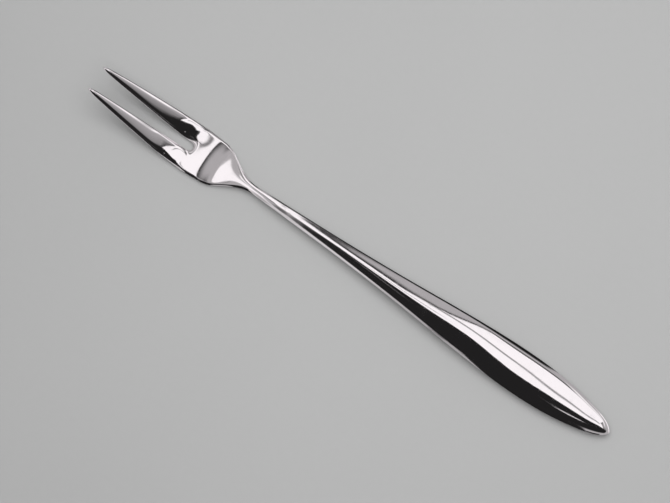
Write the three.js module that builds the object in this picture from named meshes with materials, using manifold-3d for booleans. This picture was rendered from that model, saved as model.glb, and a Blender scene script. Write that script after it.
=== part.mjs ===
// A two-tined meat fork: one piece of stainless steel, forged, ground and polished bright all over.
// Millimetres. X runs from the tine tips to the point of the handle, Y across and Z up. The fork lies on
// z = 0, on a small flat under its head and another under its handle.
import * as THREE from "three";
import Module from "manifold-3d";
import { mergeVertices } from "three/addons/utils/BufferGeometryUtils.js";

const wasm = await Module();
wasm.setup();

// Lengths along the fork.
const tineLength = 41; // from the tips to the end of the slot
const headLength = 26.7; // from the end of the slot to the narrowest place of the neck
const handleLength = 147.3; // from there to the point of the handle

// Widths, as seen from above.
const headWidth = 17;
const slotWidth = 3.3; // between the roots of the tines
const tipGap = 7.6; // between the tips of the tines
const tipWidth = 1.4; // of one tine, at its tip
const neckWidth = 2.9;
const handleWidth = 15.2;

// Thicknesses.
const tipThickness = 1.1; // of a tine, just behind its tip
const headThickness = 1.95;
const neckThickness = 2.6;
const handleThickness = 6.4;
const pointThickness = 1.3; // of the handle, just before its point

// Heights over the surface that the fork lies on.
const tipHeight = 10.9; // of the middle of a tip
const headHeight = 0.87; // of the middle of the head's plate
const neckHeight = 2.7; // of the middle of the neck
const archHeight = 4.35; // of the handle's rim, where it arches highest
const restHeight = 3.1; // of the handle's rim, where it rests
const pointHeight = 2.8; // of the point of the handle
const dishDepth = 0.3; // of the hollow in the head, from its rim
const leanDepth = 0.5; // how far the tines' roots lean in to the slot

// Grinding.
const slotRound = 0.3; // how far the faces stand back from the wall at the end of the slot
const slotCorner = 1.3; // how far its corners stand forward of its middle
const cutBelow = 20; // how far the cut that makes the flats reaches down
const cutBeside = 5; // and past the fork on each side

// The outline and the profile are shares of the sizes above, station by station.
// Tines, from the slot forwards: share of the tine's length, share of the way from the root's width to the
// tip's for the outer and the inner edge, share of the way from the head's height to the tip's, share of
// the way from the head's thickness to the tip's, how round the section is, and share of the lean.
const tineShares = [
  { along: 0.088, outer: 0.008, inner: 0.018, rise: 0.03, thin: 0, round: 0, lean: 0.35 },
  { along: 0.189, outer: 0.05, inner: 0.069, rise: 0.101, thin: 0.03, round: 0, lean: 1 },
  { along: 0.315, outer: 0.161, inner: 0.177, rise: 0.221, thin: 0.07, round: 0.02, lean: 0.3 },
  { along: 0.483, outer: 0.346, inner: 0.353, rise: 0.416, thin: 0.17, round: 0.08, lean: 0 },
  { along: 0.651, outer: 0.536, inner: 0.553, rise: 0.619, thin: 0.34, round: 0.25, lean: 0 },
  { along: 0.819, outer: 0.757, inner: 0.752, rise: 0.814, thin: 0.62, round: 0.6, lean: 0 },
  { along: 0.92, outer: 0.9, inner: 0.905, rise: 0.926, thin: 0.86, round: 1, lean: 0 },
  { along: 0.975, outer: 1.03, inner: 1.03, rise: 0.99, thin: 1.1, round: 1, lean: 0 },
];

// Head, from the end of the slot to the neck: share of the head's length, share of the way from the neck's
// width to the head's, share of the way from the head's height and thickness to the neck's, share of the
// dish's depth, and how round the section is.
const headShares = [
  { along: 0, wide: 1, rise: 0.02, thick: -0.1, dish: 0.5, round: 0 },
  { along: 0.037, wide: 0.998, rise: 0.01, thick: -0.14, dish: 0.54, round: 0 },
  { along: 0.1, wide: 0.992, rise: 0, thick: -0.2, dish: 0.6, round: 0 },
  { along: 0.19, wide: 0.966, rise: -0.01, thick: -0.2, dish: 0.6, round: 0 },
  { along: 0.265, wide: 0.945, rise: 0.03, thick: -0.15, dish: 0.4, round: 0 },
  { along: 0.34, wide: 0.927, rise: 0.09, thick: -0.05, dish: 0.2, round: 0 },
  { along: 0.415, wide: 0.865, rise: 0.137, thick: 0.08, dish: 0, round: 0.05 },
  { along: 0.5, wide: 0.692, rise: 0.298, thick: 0.12, dish: 0, round: 0.12 },
  { along: 0.6, wide: 0.467, rise: 0.464, thick: 0.23, dish: 0, round: 0.25 },
  { along: 0.72, wide: 0.21, rise: 0.656, thick: 0.38, dish: 0, round: 0.45 },
  { along: 0.86, wide: 0.018, rise: 0.847, thick: 0.69, dish: 0, round: 0.75 },
];

// Handle, from the neck to the point: share of the handle's length, share of the way from the neck's width
// to the handle's, from its height to the arch's and from its thickness to the handle's.
const handleShares = [
  { along: 0, wide: -0.01, rise: 0, thick: 0 },
  { along: 0.035, wide: 0.04, rise: 0.242, thick: 0 },
  { along: 0.085, wide: 0.08, rise: 0.482, thick: 0.013 },
  { along: 0.155, wide: 0.145, rise: 0.645, thick: 0.04 },
  { along: 0.245, wide: 0.235, rise: 0.822, thick: 0.092 },
  { along: 0.34, wide: 0.365, rise: 0.933, thick: 0.158 },
  { along: 0.435, wide: 0.52, rise: 0.961, thick: 0.276 },
  { along: 0.525, wide: 0.71, rise: 0.878, thick: 0.447 },
  { along: 0.62, wide: 0.885, rise: 0.678, thick: 0.684 },
  { along: 0.715, wide: 1.01, rise: 0.2, thick: 1.03 },
  { along: 0.795, wide: 1.005, rise: 0.15, thick: 0.905 },
];

// The last stretch, from the widest place to the point: share of the handle's length, of its width and of
// the way from the rest's height and the handle's thickness to those at the point.
const pointShares = [
  { along: 0.865, wide: 0.9, fall: 0.2, thin: 0.41 },
  { along: 0.92, wide: 0.71, fall: 1, thin: 0.55 },
  { along: 0.957, wide: 0.545, fall: 1.2, thin: 0.69 },
  { along: 0.981, wide: 0.375, fall: 1, thin: 0.81 },
  { along: 0.994, wide: 0.19, fall: 1, thin: 0.94 },
];

// The flat sections' points, across one tine from its inner edge to its outer one, as shares of its width
// and of the half thickness. The round sections have theirs on an ellipse.
const tineAcrossShares = [0, 0.05, 0.3, 0.7, 0.96, 1];
const tineUpShares = [0, 0.87, 0.94, 1, 0.88, 0];
const headAcrossShares = [0, 0.05, 0.35, 0.84, 0.985, 1];
const headUpShares = [1, 1, 1, 1, 0.98, 0];
const quarterSteps = 5;
const ringPoints = 4 * quarterSteps;
const tinePoints = 2 * quarterSteps;

// The smooth surface runs inside the points of its cage, so the cage is drawn wider by these shares, and the
// pole that closes an end stands out past it by a share of its last ring's distance.
const bodyCageShare = 0.985;
const tineCageShares = { flat: 0.96, round: 0.936 };
const poleShares = { tip: 0.46, point: 0.28 };

const mix = THREE.MathUtils.lerp;
const cage = { points: [], faces: [] };

function addPoint(x, y, z) {
  cage.points.push(new THREE.Vector3(x, y, z));
  return cage.points.length - 1;
}

// One face of the cage. Its points are turned round on the other side of the fork's middle.
function addFace(points, side = 1) {
  cage.faces.push(side > 0 ? points : [...points].reverse());
}

// A closed ring of points round the handle, neck or head, from the top of the middle over +Y.
function bodyRing({ x, halfWidth, height, halfThickness, dish, round, corner = 0 }) {
  const slotHalf = slotWidth / 2;
  return Array.from({ length: ringPoints }, (_, i) => {
    const side = i <= 2 * quarterSteps ? 1 : -1;
    const down = side > 0 ? i : ringPoints - i;
    const under = down > quarterSteps;
    const column = under ? 2 * quarterSteps - down : down;
    const turn = (Math.PI / 2) * (column / quarterSteps);
    const onTine = mix(slotHalf, headWidth / 2, headAcrossShares[column]) / (headWidth / 2);
    const across = mix(column ? onTine : 0, Math.sin(turn), round);
    const up = mix(headUpShares[column], Math.cos(turn), round) / bodyCageShare;
    const z = height + dish * across * across + (under ? -up : up) * halfThickness;
    const forward = column === 1 ? corner : 0;
    return addPoint(x - forward, (side * across * halfWidth) / bodyCageShare, z);
  });
}

// A closed ring round one tine, from the inner edge over the top to the outer edge and back below.
function tineRing({ x, inner, outer, height, halfThickness, round, lean, side }) {
  const cageShare = mix(tineCageShares.flat, tineCageShares.round, round);
  const middle = (inner + outer) / 2;
  const halfWidth = (outer - inner) / 2 / cageShare;
  return Array.from({ length: tinePoints }, (_, i) => {
    const under = i > quarterSteps;
    const column = under ? tinePoints - i : i;
    const turn = Math.PI * (column / quarterSteps);
    const across = mix(2 * tineAcrossShares[column] - 1, -Math.cos(turn), round);
    const up = mix(tineUpShares[column], Math.sin(turn), round);
    const inward = (1 - across) / 2;
    const z = height + (under ? -up : up) * halfThickness - lean * inward * inward;
    return addPoint(x, side * (middle + across * halfWidth), z);
  });
}

function bridge(from, to, side = 1) {
  from.forEach((point, i) => {
    const next = (i + 1) % from.length;
    addFace([point, to[i], to[next], from[next]], side);
  });
}

function closeWithPole(ring, pole, side = 1) {
  ring.forEach((point, i) => addFace([point, ring[(i + 1) % ring.length], pole], side));
}

// The head, the neck and the handle, as rings from the end of the slot to the point.
const headRings = headShares.map(({ along, wide, rise, thick, dish, round }) =>
  bodyRing({
    x: along ? along * headLength : slotRound,
    halfWidth: mix(neckWidth, headWidth, wide) / 2,
    height: mix(headHeight, neckHeight, rise),
    halfThickness: mix(headThickness, neckThickness, thick) / 2,
    dish: dish * dishDepth,
    round,
    corner: along ? 0 : slotCorner,
  }),
);
const handleRings = handleShares.map(({ along, wide, rise, thick }) =>
  bodyRing({
    x: headLength + along * handleLength,
    halfWidth: mix(neckWidth, handleWidth, wide) / 2,
    height: mix(neckHeight, archHeight, rise),
    halfThickness: mix(neckThickness, handleThickness, thick) / 2,
    dish: 0,
    round: 1,
  }),
);
const pointRings = pointShares.map(({ along, wide, fall, thin }) =>
  bodyRing({
    x: headLength + along * handleLength,
    halfWidth: (wide * handleWidth) / 2,
    height: mix(restHeight, pointHeight, fall),
    halfThickness: mix(handleThickness, pointThickness, thin) / 2,
    dish: 0,
    round: 1,
  }),
);
const rings = [...headRings, ...handleRings, ...pointRings];
rings.slice(1).forEach((ring, i) => bridge(rings[i], ring));
const lastGap = (1 - pointShares.at(-1).along) * handleLength;
const pointPole = addPoint(headLength + handleLength + poleShares.point * lastGap, 0, pointHeight);
closeWithPole(rings.at(-1), pointPole, -1);

// The wall at the end of the slot, with its middle row standing forward of the faces.
const root = rings[0];
const wallMiddle = addPoint(0, 0, headHeight);
const wallCorners = [1, -1].map((side) => addPoint(-slotCorner, (side * slotWidth) / 2, headHeight));
[1, -1].forEach((side, i) => {
  const corner = wallCorners[i];
  const atSide = (column) => root[side > 0 ? column : (ringPoints - column) % ringPoints];
  addFace([atSide(0), wallMiddle, corner, atSide(1)], -side);
  addFace([wallMiddle, atSide(tinePoints), atSide(tinePoints - 1), corner], -side);

  // The tine, forward from the ring of points that the head gives it.
  let ring = [corner];
  for (let column = 1; column < tinePoints; column += 1) ring.push(atSide(column));
  tineShares.forEach(({ along, outer, inner, rise, thin, round, lean }) => {
    const next = tineRing({
      x: -along * tineLength,
      inner: mix(slotWidth, tipGap, inner) / 2,
      outer: mix(headWidth, tipGap + 2 * tipWidth, outer) / 2,
      height: mix(headHeight, tipHeight, rise),
      halfThickness: mix(headThickness, tipThickness, thin) / 2,
      round,
      lean: lean * leanDepth,
      side,
    });
    bridge(next, ring, side);
    ring = next;
  });
  const tipGapLength = (1 - tineShares.at(-1).along) * tineLength;
  const tip = addPoint(-tineLength - poleShares.tip * tipGapLength, (side * (tipGap + tipWidth)) / 2, tipHeight);
  closeWithPole(ring, tip, side);
});

const average = (points) =>
  points.reduce((sum, point) => sum.add(point), new THREE.Vector3()).divideScalar(points.length);
const edgeName = (a, b) => (a < b ? a + "," + b : b + "," + a);

// One step of Catmull and Clark's subdivision of a closed cage.
function subdivide({ points, faces }) {
  const facePoints = faces.map((face) => average(face.map((i) => points[i])));
  const around = points.map(() => ({ faces: [], middles: [] }));
  const edges = new Map();
  faces.forEach((face, f) =>
    face.forEach((a, i) => {
      const b = face[(i + 1) % face.length];
      const name = edgeName(a, b);
      if (!edges.has(name)) edges.set(name, { ends: [a, b], faces: [] });
      edges.get(name).faces.push(f);
      around[a].faces.push(facePoints[f]);
    }),
  );
  const made = [];
  edges.forEach(({ ends }) => {
    const middle = average(ends.map((i) => points[i]));
    ends.forEach((i) => around[i].middles.push(middle));
  });
  points.forEach((point, i) => {
    const n = around[i].middles.length;
    const pull = average(around[i].faces).addScaledVector(average(around[i].middles), 2);
    made.push(pull.addScaledVector(point, n - 3).divideScalar(n));
  });
  const firstFace = made.length;
  made.push(...facePoints);
  const edgeIndex = new Map();
  edges.forEach(({ ends, faces: beside }, name) => {
    edgeIndex.set(name, made.length);
    made.push(average([...ends.map((i) => points[i]), ...beside.map((f) => facePoints[f])]));
  });
  const quads = faces.flatMap((face, f) =>
    face.map((a, i) => {
      const after = face[(i + 1) % face.length];
      const before = face.at(i - 1);
      return [a, edgeIndex.get(edgeName(a, after)), firstFace + f, edgeIndex.get(edgeName(before, a))];
    }),
  );
  return { points: made, faces: quads };
}

// The same points, moved onto the smooth surface that endless steps of subdivision would reach.
function ontoSurface({ points, faces }) {
  const near = points.map(() => ({ n: 0, sum: new THREE.Vector3() }));
  faces.forEach((face) =>
    face.forEach((a, i) => {
      const share = near[a];
      share.n += 1;
      share.sum.addScaledVector(points[face[(i + 1) % 4]], 2);
      share.sum.addScaledVector(points[face[(i + 3) % 4]], 2);
      share.sum.add(points[face[(i + 2) % 4]]);
    }),
  );
  const moved = points.map((point, i) => {
    const { n, sum } = near[i];
    return sum.clone().addScaledVector(point, n * n).divideScalar(n * (n + 5));
  });
  return { points: moved, faces };
}

function geometryOf({ points, faces }) {
  const geometry = new THREE.BufferGeometry().setFromPoints(points);
  geometry.setIndex(faces.flatMap(([a, b, c, d]) => [a, b, c, a, c, d]));
  return geometry;
}

function solidOf(geometry) {
  const bare = geometry.clone();
  bare.deleteAttribute("normal");
  bare.deleteAttribute("uv");
  const merged = mergeVertices(bare);
  const vertProperties = new Float32Array(merged.attributes.position.array);
  const triVerts = new Uint32Array(merged.index.array);
  return new wasm.Manifold(new wasm.Mesh({ numProp: 3, vertProperties, triVerts }));
}

function geometryOfSolid(solid) {
  const { vertProperties, triVerts } = solid.getMesh();
  const geometry = new THREE.BufferGeometry();
  geometry.setAttribute("position", new THREE.BufferAttribute(vertProperties, 3));
  geometry.setIndex(new THREE.BufferAttribute(triVerts, 1));
  geometry.computeVertexNormals();
  return geometry;
}

// The forging is ground flat where it touches the table: all of it that lies under z = 0 is cut away.
const forging = solidOf(geometryOf(ontoSurface(subdivide(cage))));
const wholeLength = tineLength + headLength + handleLength;
const belowTable = new THREE.BoxGeometry(
  wholeLength + 2 * cutBeside,
  headWidth + handleWidth,
  cutBelow,
).translate(wholeLength / 2 - tineLength, 0, -cutBelow / 2);
const ground = forging.subtract(solidOf(belowTable));

const polishedSteel = new THREE.MeshStandardMaterial({ color: 0xd9d7d5, roughness: 0.07, metalness: 1 });
const fork = new THREE.Mesh(geometryOfSolid(ground), polishedSteel);
fork.name = "fork_forging";
fork.position.x = tineLength - wholeLength / 2;

const meatFork = new THREE.Group();
meatFork.add(fork);
export default meatFork;
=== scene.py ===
import math

import bmesh
import bpy
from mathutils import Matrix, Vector


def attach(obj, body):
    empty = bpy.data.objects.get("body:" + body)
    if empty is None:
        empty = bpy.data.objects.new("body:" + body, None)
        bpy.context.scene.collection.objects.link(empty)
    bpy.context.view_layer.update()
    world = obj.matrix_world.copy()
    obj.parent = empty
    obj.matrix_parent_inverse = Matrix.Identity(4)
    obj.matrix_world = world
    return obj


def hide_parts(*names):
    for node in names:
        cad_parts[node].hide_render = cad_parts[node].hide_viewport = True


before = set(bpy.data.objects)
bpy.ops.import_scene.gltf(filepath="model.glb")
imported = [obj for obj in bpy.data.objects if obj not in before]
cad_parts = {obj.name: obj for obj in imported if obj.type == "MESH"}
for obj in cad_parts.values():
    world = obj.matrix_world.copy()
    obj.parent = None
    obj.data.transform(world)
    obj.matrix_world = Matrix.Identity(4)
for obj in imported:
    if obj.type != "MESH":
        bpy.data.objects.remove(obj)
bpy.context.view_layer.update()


# The camera
# A still camera on a tall stand. It looks nearly straight down on the fork, through a long lens that draws
# both of its ends at nearly one scale.
scene = bpy.context.scene
mm = 0.001
azimuth, elevation = math.radians(34.74), math.radians(81.5)
lens, sensor = 150.0, 36.0
camera_distance = 966.0 * mm
farthest_seen = 20.0
aim = Vector((-5.5, -1.75, 2.5)) * mm

to_camera = Vector((
    math.sin(azimuth) * math.cos(elevation),
    -math.cos(azimuth) * math.cos(elevation),
    math.sin(elevation),
))
camera = bpy.data.objects.new("camera", bpy.data.cameras.new("camera"))
camera.data.lens = lens
camera.data.sensor_width = sensor
camera.data.clip_end = farthest_seen
camera.location = aim + camera_distance * to_camera
camera.rotation_mode = "QUATERNION"
camera.rotation_quaternion = to_camera.to_track_quat("Z", "Y")
scene.collection.objects.link(camera)
scene.camera = camera


# The fork
# One bar of stainless steel, forged to a dished head with two tines, a thin neck and a leaf-shaped handle.
# It is ground to its outline and polished bright all over, so it shows the studio more than itself.
# Its sizes are in millimetres; the thicknesses and heights are those of the middle of its metal.
tine_length, head_length, handle_length = 41.0, 26.7, 147.3
head_width, slot_width, tip_gap, tip_width = 17.0, 3.3, 7.6, 1.4
neck_width, handle_width = 2.9, 15.2
tip_thickness, head_thickness, neck_thickness = 1.1, 1.95, 2.6
handle_thickness, point_thickness = 6.4, 1.3
tip_height, head_height, neck_height = 10.9, 0.87, 2.7
arch_height, rest_height, point_height = 4.35, 3.1, 2.8
lean_depth, dish_depth = 0.5, 0.3
slot_round, slot_corner = 0.3, 1.3
fork_start = -(tine_length + head_length + handle_length) / 2
slot_end = fork_start + tine_length

# The points over a section, from its inner edge to its outer, as shares of its width and its thickness.
quarter = 5
ring_count, tine_count = 4 * quarter, 2 * quarter
flat_across = (0, 0.05, 0.3, 0.7, 0.96, 1)
flat_up = (1, 0.87, 0.94, 1, 0.88, 0)
pan_across = (0, 0.05, 0.35, 0.84, 0.985, 1)
pan_up = (1, 1, 1, 1, 0.98, 0)
# Smoothing draws each outline in, so the cage stands out by these shares.
body_cage, tine_cage_flat, tine_cage_round = 0.985, 0.96, 0.936
tip_pole, point_pole = 0.46, 0.28

# Towards the tip: the way along, the outer edge, the inner edge, the rise, the thinning, the rounding
# and the lean.
tine_shares = (
    (0.088, 0.008, 0.018, 0.03, 0, 0, 0.35),
    (0.189, 0.05, 0.069, 0.101, 0.03, 0, 1),
    (0.315, 0.161, 0.177, 0.221, 0.07, 0.02, 0.3),
    (0.483, 0.346, 0.353, 0.416, 0.17, 0.08, 0),
    (0.651, 0.536, 0.553, 0.619, 0.34, 0.25, 0),
    (0.819, 0.757, 0.752, 0.814, 0.62, 0.6, 0),
    (0.92, 0.9, 0.905, 0.926, 0.86, 1, 0),
    (0.975, 1.03, 1.03, 0.99, 1.1, 1, 0),
)
# Towards the neck: the way along, the width, the rise, the thickening, the dish, the rounding.
head_shares = (
    (0, 1, 0.02, -0.1, 0.5, 0),
    (0.037, 0.998, 0.01, -0.14, 0.54, 0),
    (0.1, 0.992, 0, -0.2, 0.6, 0),
    (0.19, 0.966, -0.01, -0.2, 0.6, 0),
    (0.265, 0.945, 0.03, -0.15, 0.4, 0),
    (0.34, 0.927, 0.09, -0.05, 0.2, 0),
    (0.415, 0.865, 0.137, 0.08, 0, 0.05),
    (0.5, 0.692, 0.298, 0.12, 0, 0.12),
    (0.6, 0.467, 0.464, 0.23, 0, 0.25),
    (0.72, 0.21, 0.656, 0.38, 0, 0.45),
    (0.86, 0.018, 0.847, 0.69, 0, 0.75),
)
# Towards the handle's widest place: the way along, the width, the rise, the thickening.
handle_shares = (
    (0, -0.01, 0, 0),
    (0.035, 0.04, 0.242, 0),
    (0.085, 0.08, 0.482, 0.013),
    (0.155, 0.145, 0.645, 0.04),
    (0.245, 0.235, 0.822, 0.092),
    (0.34, 0.365, 0.933, 0.158),
    (0.435, 0.52, 0.961, 0.276),
    (0.525, 0.71, 0.878, 0.447),
    (0.62, 0.885, 0.678, 0.684),
    (0.715, 1.01, 0.2, 1.03),
    (0.795, 1.005, 0.15, 0.905),
)
# Towards the point: the way along, the width, the fall, the thinning.
point_shares = (
    (0.865, 0.9, 0.2, 0.41),
    (0.92, 0.71, 1, 0.55),
    (0.957, 0.545, 1.2, 0.69),
    (0.981, 0.375, 1, 0.81),
    (0.994, 0.19, 1, 0.94),
)


def mix(a, b, share):
    return a + (b - a) * share


def body_place(number, x, half_width, height, half_thickness, dish, rounding, corner=0):
    """Where a point of a ring round the head, the neck or the handle lies."""
    side = 1 if number <= 2 * quarter else -1
    down = number if side > 0 else ring_count - number
    under = down > quarter
    column = 2 * quarter - down if under else down
    turn = math.pi / 2 * column / quarter
    on_tine = mix(slot_width / 2, head_width / 2, pan_across[column]) / (head_width / 2)
    across = mix(on_tine if column else 0, math.sin(turn), rounding)
    up = mix(pan_up[column], math.cos(turn), rounding) / body_cage
    z = height + dish * across * across + (-up if under else up) * half_thickness
    forward = corner if column == 1 else 0
    return Vector((x - forward, side * across * half_width / body_cage, z)) * mm


def tine_place(number, x, inner, outer, height, half_thickness, rounding, lean, side):
    """Where a point of a ring round one tine lies."""
    cage = mix(tine_cage_flat, tine_cage_round, rounding)
    under = number > quarter
    column = tine_count - number if under else number
    turn = math.pi * column / quarter
    across = mix(2 * flat_across[column] - 1, -math.cos(turn), rounding)
    up = mix(flat_up[column] if column else 0, math.sin(turn), rounding)
    y = (inner + outer) / 2 + across * (outer - inner) / 2 / cage
    z = height + (-up if under else up) * half_thickness - lean * ((1 - across) / 2) ** 2
    return Vector((x, side * y, z)) * mm


stations = [
    dict(x=slot_end + (along * head_length or slot_round),
         half_width=mix(neck_width, head_width, wide) / 2,
         height=mix(head_height, neck_height, rise),
         half_thickness=mix(head_thickness, neck_thickness, thick) / 2,
         dish=dish * dish_depth, rounding=rounding)
    for along, wide, rise, thick, dish, rounding in head_shares
]
stations += [
    dict(x=slot_end + head_length + along * handle_length,
         half_width=mix(neck_width, handle_width, wide) / 2,
         height=mix(neck_height, arch_height, rise),
         half_thickness=mix(neck_thickness, handle_thickness, thick) / 2,
         dish=0, rounding=1)
    for along, wide, rise, thick in handle_shares
]
stations += [
    dict(x=slot_end + head_length + along * handle_length,
         half_width=wide * handle_width / 2,
         height=mix(rest_height, point_height, fall),
         half_thickness=mix(handle_thickness, point_thickness, thin) / 2,
         dish=0, rounding=1)
    for along, wide, fall, thin in point_shares
]

# The head, the neck and the handle are drawn out of one ring, that of the slot's end.
bm = bmesh.new()
number_of = bm.verts.layers.int.new("number")
ring = bmesh.ops.create_circle(bm, segments=ring_count, radius=1)["verts"]
for number, vert in enumerate(ring):
    vert[number_of] = number
    vert.co = body_place(number, **stations[0], corner=slot_corner)
first = {v[number_of]: v for v in ring}
edges = list(bm.edges)
for station in stations[1:]:
    made = bmesh.ops.extrude_edge_only(bm, edges=edges)["geom"]
    edges = [g for g in made if isinstance(g, bmesh.types.BMEdge)
             and all(v in made for v in g.verts)]
    for vert in (g for g in made if isinstance(g, bmesh.types.BMVert)):
        vert.co = body_place(vert[number_of], **station)
end_face = bmesh.ops.edgeloop_fill(bm, edges=edges)["faces"][0]
pole = bmesh.ops.poke(bm, faces=[end_face])["verts"][0]
last_gap = (1 - point_shares[-1][0]) * handle_length
pole.co = Vector((-fork_start + point_pole * last_gap, 0, point_height)) * mm

# The slot's end closes the ring between two openings, and a tine is drawn out of each.
middle = bm.verts.new(Vector((slot_end, 0, head_height)) * mm)
for side in (1, -1):
    corner = bm.verts.new(Vector((slot_end - slot_corner, side * slot_width / 2, head_height)) * mm)
    at_side = {n: first[n if side > 0 else (ring_count - n) % ring_count]
               for n in range(2 * quarter + 1)}
    bm.faces.new((at_side[0], middle, corner, at_side[1]))
    bm.faces.new((middle, at_side[tine_count], at_side[tine_count - 1], corner))
    around = [corner] + [at_side[n] for n in range(1, tine_count)]
    for number, vert in enumerate(around):
        vert[number_of] = number
    face = bm.faces.new(around)
    for along, outer, inner, rise, thin, rounding, lean in tine_shares:
        face = bmesh.ops.extrude_discrete_faces(bm, faces=[face])["faces"][0]
        for vert in face.verts:
            vert.co = tine_place(
                vert[number_of],
                x=slot_end - along * tine_length,
                inner=mix(slot_width, tip_gap, inner) / 2,
                outer=mix(head_width, tip_gap + 2 * tip_width, outer) / 2,
                height=mix(head_height, tip_height, rise),
                half_thickness=mix(head_thickness, tip_thickness, thin) / 2,
                rounding=rounding, lean=lean * lean_depth, side=side,
            )
    pole = bmesh.ops.poke(bm, faces=[face])["verts"][0]
    gap = (1 - tine_shares[-1][0]) * tine_length
    pole.co = Vector((fork_start - tip_pole * gap, side * (tip_gap + tip_width) / 2, tip_height)) * mm
bmesh.ops.recalc_face_normals(bm, faces=bm.faces)

# The cage is smoothed to the forging's skin.
cage = bpy.data.meshes.new("fork_cage")
bm.to_mesh(cage)
bm.free()
shaper = bpy.data.objects.new("fork_cage", cage)
scene.collection.objects.link(shaper)
smoother = shaper.modifiers.new("smooth", "SUBSURF")
smoother.levels = smoother.render_levels = 3
smoother.uv_smooth = "NONE"
bpy.context.view_layer.update()
shaped = shaper.evaluated_get(bpy.context.evaluated_depsgraph_get())
polished = bpy.data.meshes.new_from_object(shaped)
bpy.data.objects.remove(shaper)

# It is ground flat where it touches the table.
bm = bmesh.new()
bm.from_mesh(polished)
bmesh.ops.bisect_plane(bm, geom=bm.verts[:] + bm.edges[:] + bm.faces[:],
                       plane_co=(0, 0, 0), plane_no=(0, 0, -1), clear_outer=True)
open_edges = [e for e in bm.edges if e.is_boundary]
flats = bmesh.ops.holes_fill(bm, edges=open_edges, sides=0)["faces"]
for f in bm.faces:
    f.smooth = True
for f in flats:
    f.smooth = False
    for e in f.edges:
        e.smooth = False
bm.to_mesh(polished)
bm.free()
fork = bpy.data.objects.new("polished_fork", polished)
scene.collection.objects.link(fork)


class Link:
    """A socket in a node tree. A sum or a product of links adds its Math node."""

    def __init__(self, tree, socket=None):
        self.tree, self.socket = tree, socket

    def node(self, kind, settings, sockets, output=0):
        made = self.tree.nodes.new("ShaderNode" + kind)
        for name, value in settings.items():
            setattr(made, name, value)
        for name, value in sockets.items():
            if isinstance(value, Link):
                self.tree.links.new(value.socket, made.inputs[name])
            else:
                made.inputs[name].default_value = value
        return Link(self.tree, made.outputs[output])

    def maths(self, operation, *others):
        return self.node("Math", {"operation": operation}, dict(enumerate((self, *others))))

    def __add__(self, other):
        return self.maths("ADD", other)

    __radd__ = __add__

    def __sub__(self, other):
        return self.maths("SUBTRACT", other)

    def __rsub__(self, other):
        return -self + other

    def __mul__(self, other):
        return self.maths("MULTIPLY", other)

    __rmul__ = __mul__

    def __truediv__(self, other):
        return self.maths("DIVIDE", other)

    def __neg__(self):
        return self * -1

    def __and__(self, other):
        return self.maths("MINIMUM", other)

    def __or__(self, other):
        return self.maths("MAXIMUM", other)

    def size(self):
        return self.maths("ABSOLUTE")

    def hump(self, middle, reach):
        """Is 1 at the middle and falls away softly to both sides."""
        out = (self - middle) / reach
        return (-(out * out)).maths("EXPONENT")

    def rise(self, start, end):
        """Goes softly from 0 to 1 while this link goes from start to end."""
        sockets = {"Value": self, "From Min": start, "From Max": end}
        return self.node("MapRange", {"interpolation_type": "SMOOTHSTEP"}, sockets)

    def to(self, other, share):
        """Goes from this link to another by a share."""
        return self * (1 - share) + share * other


steel = bpy.data.materials.new("polished_steel")
steel.use_nodes = True
sheet = Link(steel.node_tree)
shader = steel.node_tree.nodes["Principled BSDF"]
place = sheet.node("TexCoord", {}, {}, "Object")
x, y = (sheet.node("SeparateXYZ", {}, {"Vector": place}, axis) for axis in "XY")

# The polisher's wheel ran along the fork and left fine lines and slow waves.
wheel_run = (60, 1500, 1500)
line_height, wave_height = 0.00022 * mm, 0.012 * mm
stretched = sheet.node("Mapping", {}, {"Vector": place, "Scale": wheel_run})
lines = sheet.node("TexNoise", {}, {"Vector": stretched, "Scale": 1, "Detail": 3, "Roughness": 0.6})
slow = sheet.node("TexNoise", {}, {"Vector": place, "Scale": 90, "Detail": 2, "Roughness": 0.5})

# It leaned a little to one side or the other at the waist, the swell and the point of the handle.
lean = x.hump(45 * mm, 12 * mm) * 0.025
lean = lean - x.hump(69 * mm, 15 * mm) * 0.048
lean = lean + x.hump(105 * mm, 4 * mm) * 0.05

# It cut the near side of each tine's root lower than the far side, and let the start of the neck fall
# towards the handle.
root_middle = 5.5 * mm
near_root = y.rise(-1 * mm, -3 * mm) * x.hump(-75 * mm, 4 * mm) * (y + root_middle) * 0.08
far_root = y.rise(1 * mm, 3 * mm) * x.hump(-71.5 * mm, 2.2 * mm) * (y - root_middle) * 0.045
neck_fall = x.rise(-37 * mm, -26 * mm) * (0.15 * mm)
polish = y * lean + near_root + far_root - neck_fall + slow * wave_height + lines * line_height

# The shading of the steep flanks keeps this much upwards for each part sideways, so that they mirror the
# foot of the room's walls and not the table.
least_upward = 1.27
facing = sheet.node("NewGeometry", {}, {}, "Normal")
upward = sheet.node("SeparateXYZ", {}, {"Vector": facing}, "Z")
sideways = ((1 - upward * upward) | 0).maths("SQRT")
lift = sheet.node("CombineXYZ", {}, {"Z": sideways * least_upward - upward | 0})
flank = sheet.node("VectorMath", {"operation": "ADD"}, {0: facing, 1: lift})
flank = sheet.node("VectorMath", {"operation": "NORMALIZE"}, {0: flank})
bump = sheet.node("Bump", {}, {"Strength": 1.0, "Distance": 1.0, "Height": polish, "Normal": flank})
steel.node_tree.links.new(bump.socket, shader.inputs["Normal"])

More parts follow.
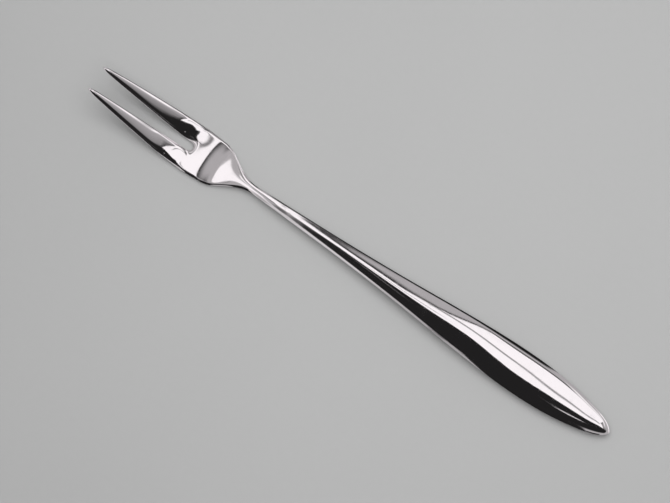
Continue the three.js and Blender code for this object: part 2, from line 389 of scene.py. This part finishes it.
# Handling leaves a thin haze here and there, where the steel is a shade darker and duller.
bright_steel, hazed_steel = (0.80, 0.755, 0.775, 1), (0.785, 0.74, 0.76, 1)
mirror_roughness = 0.045
hazy = sheet.node("TexNoise", {}, {"Vector": place, "Scale": 260, "Detail": 5, "Roughness": 0.7})
haze = hazy.rise(0.48, 0.75) * 0.05 + lines.rise(0.55, 0.8) * 0.03
steel.node_tree.links.new((haze + mirror_roughness).socket, shader.inputs["Roughness"])
tint = sheet.node("Mix", {"data_type": "RGBA"},
                  {0: hazy.rise(0.3, 0.7), 6: bright_steel, 7: hazed_steel}, 2)
steel.node_tree.links.new(tint.socket, shader.inputs["Base Color"])
shader.inputs["Metallic"].default_value = 1
fork.data.materials.clear()
fork.data.materials.append(steel)
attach(fork, "root")
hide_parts("fork_forging")


# The table
# A wide board with a matt pale grey lacquer, rolled on, so that its face is very slightly pebbled.
table_reach = 4.0
bm = bmesh.new()
bmesh.ops.create_grid(bm, x_segments=1, y_segments=1, size=table_reach)
board = bpy.data.meshes.new("table")
bm.to_mesh(board)
bm.free()
table = bpy.data.objects.new("table", board)
scene.collection.objects.link(table)

lacquer = bpy.data.materials.new("grey_lacquer")
lacquer.use_nodes = True
sheet = Link(lacquer.node_tree)
shader = lacquer.node_tree.nodes["Principled BSDF"]
dull_grey, pale_grey = (0.325, 0.325, 0.325, 1), (0.355, 0.355, 0.355, 1)
pebble_height = 0.02 * mm
place = sheet.node("TexCoord", {}, {}, "Object")
pebbles = sheet.node("TexNoise", {}, {"Vector": place, "Scale": 420, "Detail": 3, "Roughness": 0.55})
clouds = sheet.node("TexNoise", {}, {"Vector": place, "Scale": 9, "Detail": 3, "Roughness": 0.5})
tone = sheet.node("Mix", {"data_type": "RGBA"},
                  {0: clouds * 0.7 + pebbles * 0.3, 6: dull_grey, 7: pale_grey}, 2)
lacquer.node_tree.links.new(tone.socket, shader.inputs["Base Color"])
bump = sheet.node("Bump", {}, {"Strength": 1.0, "Distance": 1.0, "Height": pebbles * pebble_height})
lacquer.node_tree.links.new(bump.socket, shader.inputs["Normal"])
shader.inputs["Roughness"].default_value = 0.6
table.data.materials.append(lacquer)


# The studio
# Large white panels hang over the table, with a dark gap in front of them and a pale grey room behind.
# They are drawn on the sky, as shapes on a level ceiling one metre up, along and across the fork.
black, grey, white = 0.018, 0.5, 1.2
room = bpy.data.worlds.new("studio")
scene.world = room
room.use_nodes = True
sheet = Link(room.node_tree)
background = room.node_tree.nodes["Background"]
ray = sheet.node("TexCoord", {}, {}, "Generated")
x, y, z = (sheet.node("SeparateXYZ", {}, {"Vector": ray}, axis) for axis in "XYZ")
height = z | 0.02
along, across = x / height, y / height

# The panel is over the table; the stands before it break its front edge. Each side is above 0 inside it.
blur = 0.004
ragged = sheet.node("TexNoise", {}, {"Vector": ray, "Scale": 55, "Detail": 3, "Roughness": 0.6}) - 0.5
stands = 0.03 + 0.042 * along.hump(-0.02, 0.04) + 0.03 * along.hump(-0.145, 0.015)
panel_front = across - stands - ragged * 0.05
panel_left = along + 0.185 + (0.35 * (across - 0.17) | 0.02 * across)
panel_right = ((0.31 - 0.33 * across) | (0.3 * across + 0.1)) - along
back_corner = (1.21 + 10.5 * along) | (-0.08 - 3 * along) | (-0.79 - 7.6 * along)
panel_back = ((back_corner & (1.64 - 2.4 * along)) - across) * 0.12 / ((across | 0) + 0.5)
panel = (panel_front & panel_left & panel_right & panel_back).rise(-blur, blur)

# Its sheets meet in two grey seams, which stop short of its edges.
far_seam_line = (0.4 + 0.8 * along) & (0.495 - 1.65 * along)
far_seam = (across - far_seam_line).size().rise(0.02, 0.05)
far_seam = far_seam | (-0.07 - along).rise(0, 0.02) | (along - 0.18).rise(0, 0.01)
near_seam = (across - 0.2175 - 1.1 * along).size().rise(0.006, 0.014)
near_seam = near_seam | (along + 0.075).rise(0, 0.02) | (-0.14 - along).rise(0, 0.008)
panel_light = white * (0.3 + 0.7 * far_seam) * (0.1 + 0.9 * near_seam)

# A dark frame runs round the panel and fades into the grey room on each side.
room_left = (-panel_left).rise(0, 0.08) * across.rise(0, 0.05)
room_left = room_left | (0.09 * across - 0.16 - along).rise(-0.02, 0.03) * across.rise(0.05, 0)
room_right = (-panel_right).rise(0, 0.055) * panel_front.rise(-0.03, 0.06)
room_right = room_right * (0.55 + 0.35 * across.rise(0.05, 0.3))
room_back = (-panel_back).rise(0.01, 0.036)
room_front = (along + 0.38 * across).rise(0, 0.1) * across.rise(-0.7, -1) * across.rise(-3, -2.6)
light = black + (grey - black) * (room_left | room_right | room_back | room_front)

# A tall window stands at the left, with a post that cuts into its edge, and a white wall at the right behind.
post = 0.05 * across.rise(0.12, 0.15) * across.rise(0.3, 0.24)
window = (0.15 * ((-across & 0.3) | 0) - post - 0.338 - along).rise(-0.008, 0.008)
window = window * across.rise(0.4, 0.34) * along.rise(-0.56, -0.47)
window = window * (0.4 + 0.6 * across.rise(-1, -0.6))
wall = (across + 2 * along - 1.15).rise(-0.1, 0.1) * along.rise(0.44, 0.39) * across.rise(2.6, 1.6)
wall = wall * (0.7 * along.rise(0.24, 0.28) + 0.3 * along.rise(0.345, 0.365))
light = light.to(white, window | wall)

# A narrow lamp burns in the dark gap, and a faint one farther to the left.
lamp = (along - 0.169 - 0.265 * (across + 0.297)).size().rise(0.011, 0.005)
lamp = lamp * along.rise(0.18, 0.19) * across.rise(-0.17, -0.2)
faint = (along + 0.126 + 0.233 * (across + 0.077)).size().rise(0.006, 0.002)
faint = faint * across.rise(-0.21, -0.18) * across.rise(-0.06, -0.09) * 0.2
light = light.to(white, lamp | faint)
light = light.to(panel_light, panel)

# Behind, the foot of the wall is dark in the middle and white at the right.
foot = y.rise(0, 0.3) * z.rise(0.24, 0.17)
light = light.to(black, foot * x.rise(-0.2, -0.14) * x.rise(0.05, 0.02))
light = light.to(white, foot * x.rise(0.2, 0.26))
room.node_tree.links.new(light.socket, background.inputs["Strength"])
background.inputs["Color"].default_value = (1, 1, 1, 1)

# A round lamp that the steel doesn't mirror lays a soft pool of light on the table.
pool_width, pool_power = 0.6, 2.7
pool = bpy.data.objects.new("pool", bpy.data.lights.new("pool", "AREA"))
pool.data.shape = "DISK"
pool.data.size = pool_width
pool.data.energy = pool_power
pool.location = Vector((30, 80, 450)) * mm
pool.visible_glossy = False
pool.visible_camera = False
scene.collection.objects.link(pool)
scene.view_settings.view_transform = "Standard"
